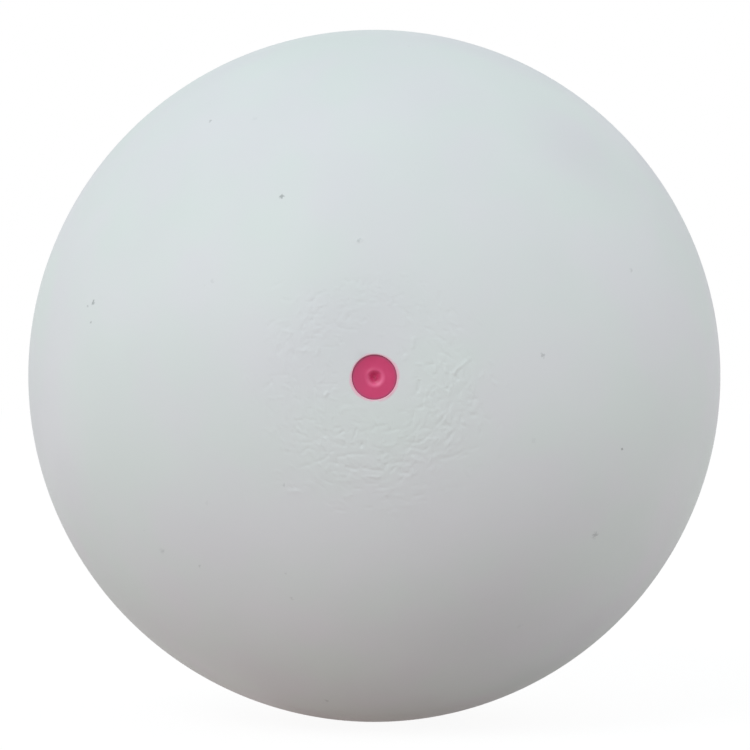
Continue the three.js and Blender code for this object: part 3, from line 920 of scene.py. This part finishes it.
# Painted highlight: a paler ring on the mouth's slope, strongest on its far side
off_ring = distance_between(tree, flat, HIGHLIGHT_CENTRE)
inside = ramp(tree, off_ring, HIGHLIGHT_RADIUS - HIGHLIGHT_INWARD, HIGHLIGHT_RADIUS, 0.0, 1.0)
outside = ramp(tree, off_ring, HIGHLIGHT_RADIUS, HIGHLIGHT_RADIUS + HIGHLIGHT_OUTWARD, 1.0, 0.0)
far_way = (-math.cos(math.radians(STEEP_SIDE)), 0, -math.sin(math.radians(STEEP_SIDE)))
far_side = add(tree, "ShaderNodeVectorMath", {0: flat, 1: far_way}, operation="DOT_PRODUCT").outputs["Value"]
painted_highlight = maths(tree, "MULTIPLY", inside, outside)
highlight_side = ramp(tree, far_side, -HIGHLIGHT_TURNOVER, HIGHLIGHT_TURNOVER, *HIGHLIGHT_STRENGTH)
painted_highlight = maths(tree, "MULTIPLY", painted_highlight, highlight_side)
tree.links.new(mixed(tree, painted_highlight, colour, PINK_PAINTED_HIGHLIGHT), rubber.inputs["Base Color"])
plug.data.materials.append(pink_rubber)
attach(plug, "root")
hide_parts("valve_plug")

# Back half of the shell. The other half ball, plain and without a hole. The two are cemented edge to edge,
# and the joint is buffed flush, so that only a hairline is left round the ball.

BACK_SEGMENTS = 240
BACK_STEPS = 60
# Distance along the skin from the joint to the first row behind its rounded edge
BACK_START = 0.2 * mm

back_skin = arc(BALL_RADIUS, math.pi / 2 + BACK_START / BALL_RADIUS, math.pi, BACK_STEPS)
back_inner = arc(inner_radius, math.pi, math.pi - bead_angle, INNER_STEPS)
back_rows = [
    turned(back_inner[:-1] + bead(1)[::-1], BACK_SEGMENTS),
    hollowed(turned(joint_edge(1)[::-1] + back_skin, BACK_SEGMENTS)),
]
shell_back = skin("back_shell", np.concatenate(back_rows), looped=False)
shell_back.data.materials.append(white_rubber("white_rubber_back", [], [], pink_edged=False))
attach(shell_back, "root")
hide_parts("shell_back_half")

# Floor. A pale sheet that the ball stands on. The camera sees it as white as the backdrop, with a faint
# shadow of the ball, and the ball itself gets only the soft warm light of a mid-grey floor.

FLOOR_SIZE = 4.0
# As the camera sees it: a white glow with a share of plain matte paper, which takes the shadow
WHITE_GLOW = 1.08
PAPER = (0.8, 0.8, 0.8, 1)
PAPER_SHARE = 0.15
# As it lights the ball: mid-grey with a warm glow, which is weaker in the ball's shade, below it to the right
MID_GREY = (0.30, 0.30, 0.30, 1)
WARMTH = (0.248, 0.184, 0.168, 1)
SHADE_PLACE = (0.025, -0.012, cad_box[0][2])
SHADE_REACH = 0.045
SHADE_GLOW = 0.45


def seen_by_camera(tree):
    """1 for what the camera sees, straight or in gloss or glass, and 0 for light that falls on the ball."""
    seen = add(tree, "ShaderNodeLightPath").outputs
    shown = maths(tree, "MAXIMUM", seen["Is Camera Ray"], seen["Is Glossy Ray"])
    return maths(tree, "MAXIMUM", shown, seen["Is Transmission Ray"])


floor_mesh = bpy.data.meshes.new("floor")
half = FLOOR_SIZE / 2
floor_mesh.from_pydata(
    [(-half, -half, cad_box[0][2]), (half, -half, cad_box[0][2]),
     (half, half, cad_box[0][2]), (-half, half, cad_box[0][2])],
    [], [(0, 1, 2, 3)],
)
floor = bpy.data.objects.new("floor", floor_mesh)
bpy.context.scene.collection.objects.link(floor)
paper = bpy.data.materials.new("paper")
paper.use_nodes = True
tree = paper.node_tree
tree.nodes.remove(tree.nodes["Principled BSDF"])
glow = add(tree, "ShaderNodeEmission", {"Color": (1, 1, 1, 1), "Strength": WHITE_GLOW})
white_matte = add(tree, "ShaderNodeBsdfDiffuse", {"Color": PAPER})
shadowed = add(tree, "ShaderNodeMixShader", {0: PAPER_SHARE, 1: glow.outputs[0], 2: white_matte.outputs[0]})
grey = add(tree, "ShaderNodeBsdfDiffuse", {"Color": MID_GREY})
from_shade = distance_between(tree, add(tree, "ShaderNodeTexCoord").outputs["Object"], SHADE_PLACE)
fading = ramp(tree, from_shade, 0.0, SHADE_REACH, SHADE_GLOW, 1.0)
warmth = add(tree, "ShaderNodeEmission", {"Color": WARMTH, "Strength": fading})
felt = add(tree, "ShaderNodeAddShader", {0: grey.outputs[0], 1: warmth.outputs[0]})
choice = add(tree, "ShaderNodeMixShader", {
    0: seen_by_camera(tree), 1: felt.outputs[0], 2: shadowed.outputs[0],
})
tree.links.new(choice.outputs[0], tree.nodes["Material Output"].inputs["Surface"])
floor_mesh.materials.append(paper)

# Light. A soft dome, dim and cool all round and much brighter towards the ball's two sides, and one large
# soft lamp in front of the ball, above it and to its left.

# Light of the dome all round, and what it gains straight to the right, straight to the left and in front
EVEN = (0.207, 0.239, 0.250)
RIGHT = 1.05
LEFT = 0.93
FRONT = 0.17
KEY_PLACE = (-0.50, -0.87, 0.72)
KEY_SIZE = 0.5
KEY_POWER = 4.2
KEY_COLOUR = (0.95, 1.0, 0.995)

world = bpy.data.worlds.new("studio")
bpy.context.scene.world = world
world.use_nodes = True
tree = world.node_tree
tree.nodes.clear()
way = add(tree, "ShaderNodeTexCoord").outputs["Generated"]
axes = add(tree, "ShaderNodeSeparateXYZ", {"Vector": way}).outputs
to_left = maths(tree, "MULTIPLY", axes["X"], -1.0)
to_front = maths(tree, "MULTIPLY", axes["Y"], -1.0)
rightward = maths(tree, "MULTIPLY", maths(tree, "MAXIMUM", axes["X"], 0.0), RIGHT)
leftward = maths(tree, "MULTIPLY", maths(tree, "MAXIMUM", to_left, 0.0), LEFT)
beside = maths(tree, "ADD", rightward, leftward)
ahead = maths(tree, "MULTIPLY", maths(tree, "MAXIMUM", to_front, 0.0), FRONT)
soft = maths(tree, "ADD", beside, ahead)
grey_level = add(tree, "ShaderNodeCombineXYZ", {"X": soft, "Y": soft, "Z": soft}).outputs["Vector"]
light = add(tree, "ShaderNodeVectorMath", {0: grey_level, 1: EVEN}, operation="ADD").outputs["Vector"]
dome = add(tree, "ShaderNodeBackground", {"Color": light, "Strength": 1.0})
backdrop = add(tree, "ShaderNodeBackground", {"Color": (1, 1, 1, 1), "Strength": 1.0})
choice = add(tree, "ShaderNodeMixShader", {
    0: seen_by_camera(tree), 1: dome.outputs[0], 2: backdrop.outputs[0],
})
add(tree, "ShaderNodeOutputWorld", {"Surface": choice.outputs[0]})


def softbox(name, place, size, power, colour):
    """A square lamp that looks at the ball's middle."""
    light = bpy.data.lights.new(name, "AREA")
    light.shape = "SQUARE"
    light.size = size
    light.energy = power
    light.color = colour
    lamp = bpy.data.objects.new(name, light)
    lamp.location = place
    lamp.rotation_euler = (-Vector(place)).to_track_quat("-Z", "Y").to_euler()
    bpy.context.scene.collection.objects.link(lamp)


softbox("key", KEY_PLACE, KEY_SIZE, KEY_POWER, KEY_COLOUR)

# Camera. It stands 300 mm in front of the ball's middle and 1 mm above it, and looks at the middle. A shift
# of under a pixel each way sets the ball where the photograph frames it.

IMAGE_WIDTH = 750
SHIFT_RIGHT = 0.65
SHIFT_UP = 0.88
CAMERA_DISTANCE = 0.3
CAMERA_HEIGHT = 1 * mm
NEAREST_SEEN = 0.01
# The lens and the film, in the millimetres that the camera takes them in
LENS = 150.1
FILM_WIDTH = 36

camera_data = bpy.data.cameras.new("camera")
camera_data.lens = LENS
camera_data.sensor_width = FILM_WIDTH
camera_data.shift_x = SHIFT_RIGHT / IMAGE_WIDTH
camera_data.shift_y = SHIFT_UP / IMAGE_WIDTH
camera_data.clip_start = NEAREST_SEEN
camera = bpy.data.objects.new("camera", camera_data)
camera.location = (0, -CAMERA_DISTANCE, CAMERA_HEIGHT)
camera.rotation_euler = (-camera.location).to_track_quat("-Z", "Y").to_euler()
bpy.context.scene.collection.objects.link(camera)
bpy.context.scene.camera = camera
bpy.context.scene.view_settings.view_transform = "Standard"
